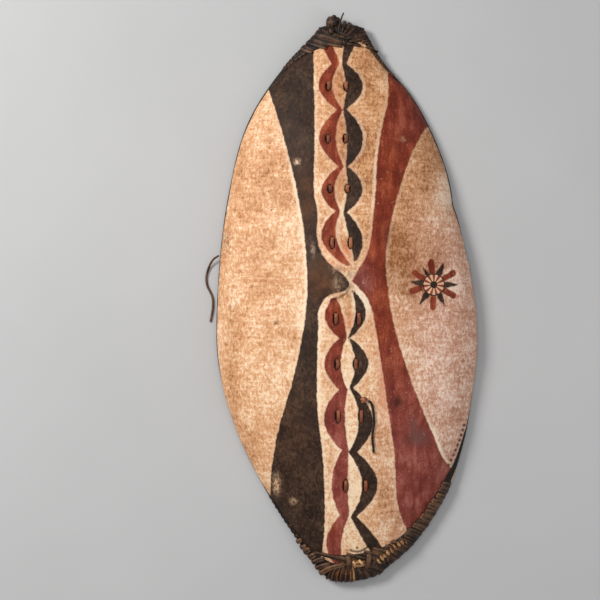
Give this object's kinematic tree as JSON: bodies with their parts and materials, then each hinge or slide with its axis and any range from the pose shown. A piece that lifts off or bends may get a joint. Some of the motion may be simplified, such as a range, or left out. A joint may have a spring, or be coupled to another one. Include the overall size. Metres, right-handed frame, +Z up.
{
  "type": "hide shield",
  "caption": "Domed pointed-oval hide shield, painted in bands with a rosette, with a whipped rim and a wooden stave laced down its back as the hand grip.",
  "frame": {"origin": "on the floor under the middle of the shield, which lies face up on its rim, measured without the two free thongs", "axes": "+X towards the shield's right as seen from the front, +Y towards its upper tip, +Z up, out of the painted front"},
  "size_m": [0.5121, 1.0656, 0.1128],
  "materials": {
    "hide": "scraped rawhide, painted black and red, satin",
    "binding": "dark whipped hide strip, worn on its ridges",
    "stave": "hewn and hand polished",
    "tie": "twisted rawhide lacing",
    "thong": "dark stiff rawhide"
  },
  "bodies": {
    "root": {"hide_shell": "hide", "rim_binding": "binding", "stave": "stave", "stave_tie_1": "tie", "stave_tie_2": "tie", "stave_tie_3": "tie", "stave_tie_4": "tie", "stave_tie_5": "tie", "stave_tie_6": "tie", "stave_tie_7": "tie", "stave_tie_8": "tie", "tip_thong": "thong", "tail_knot": "tie", "thong_tail": "thong", "side_thong": "thong"}
  },
  "joints": []
}
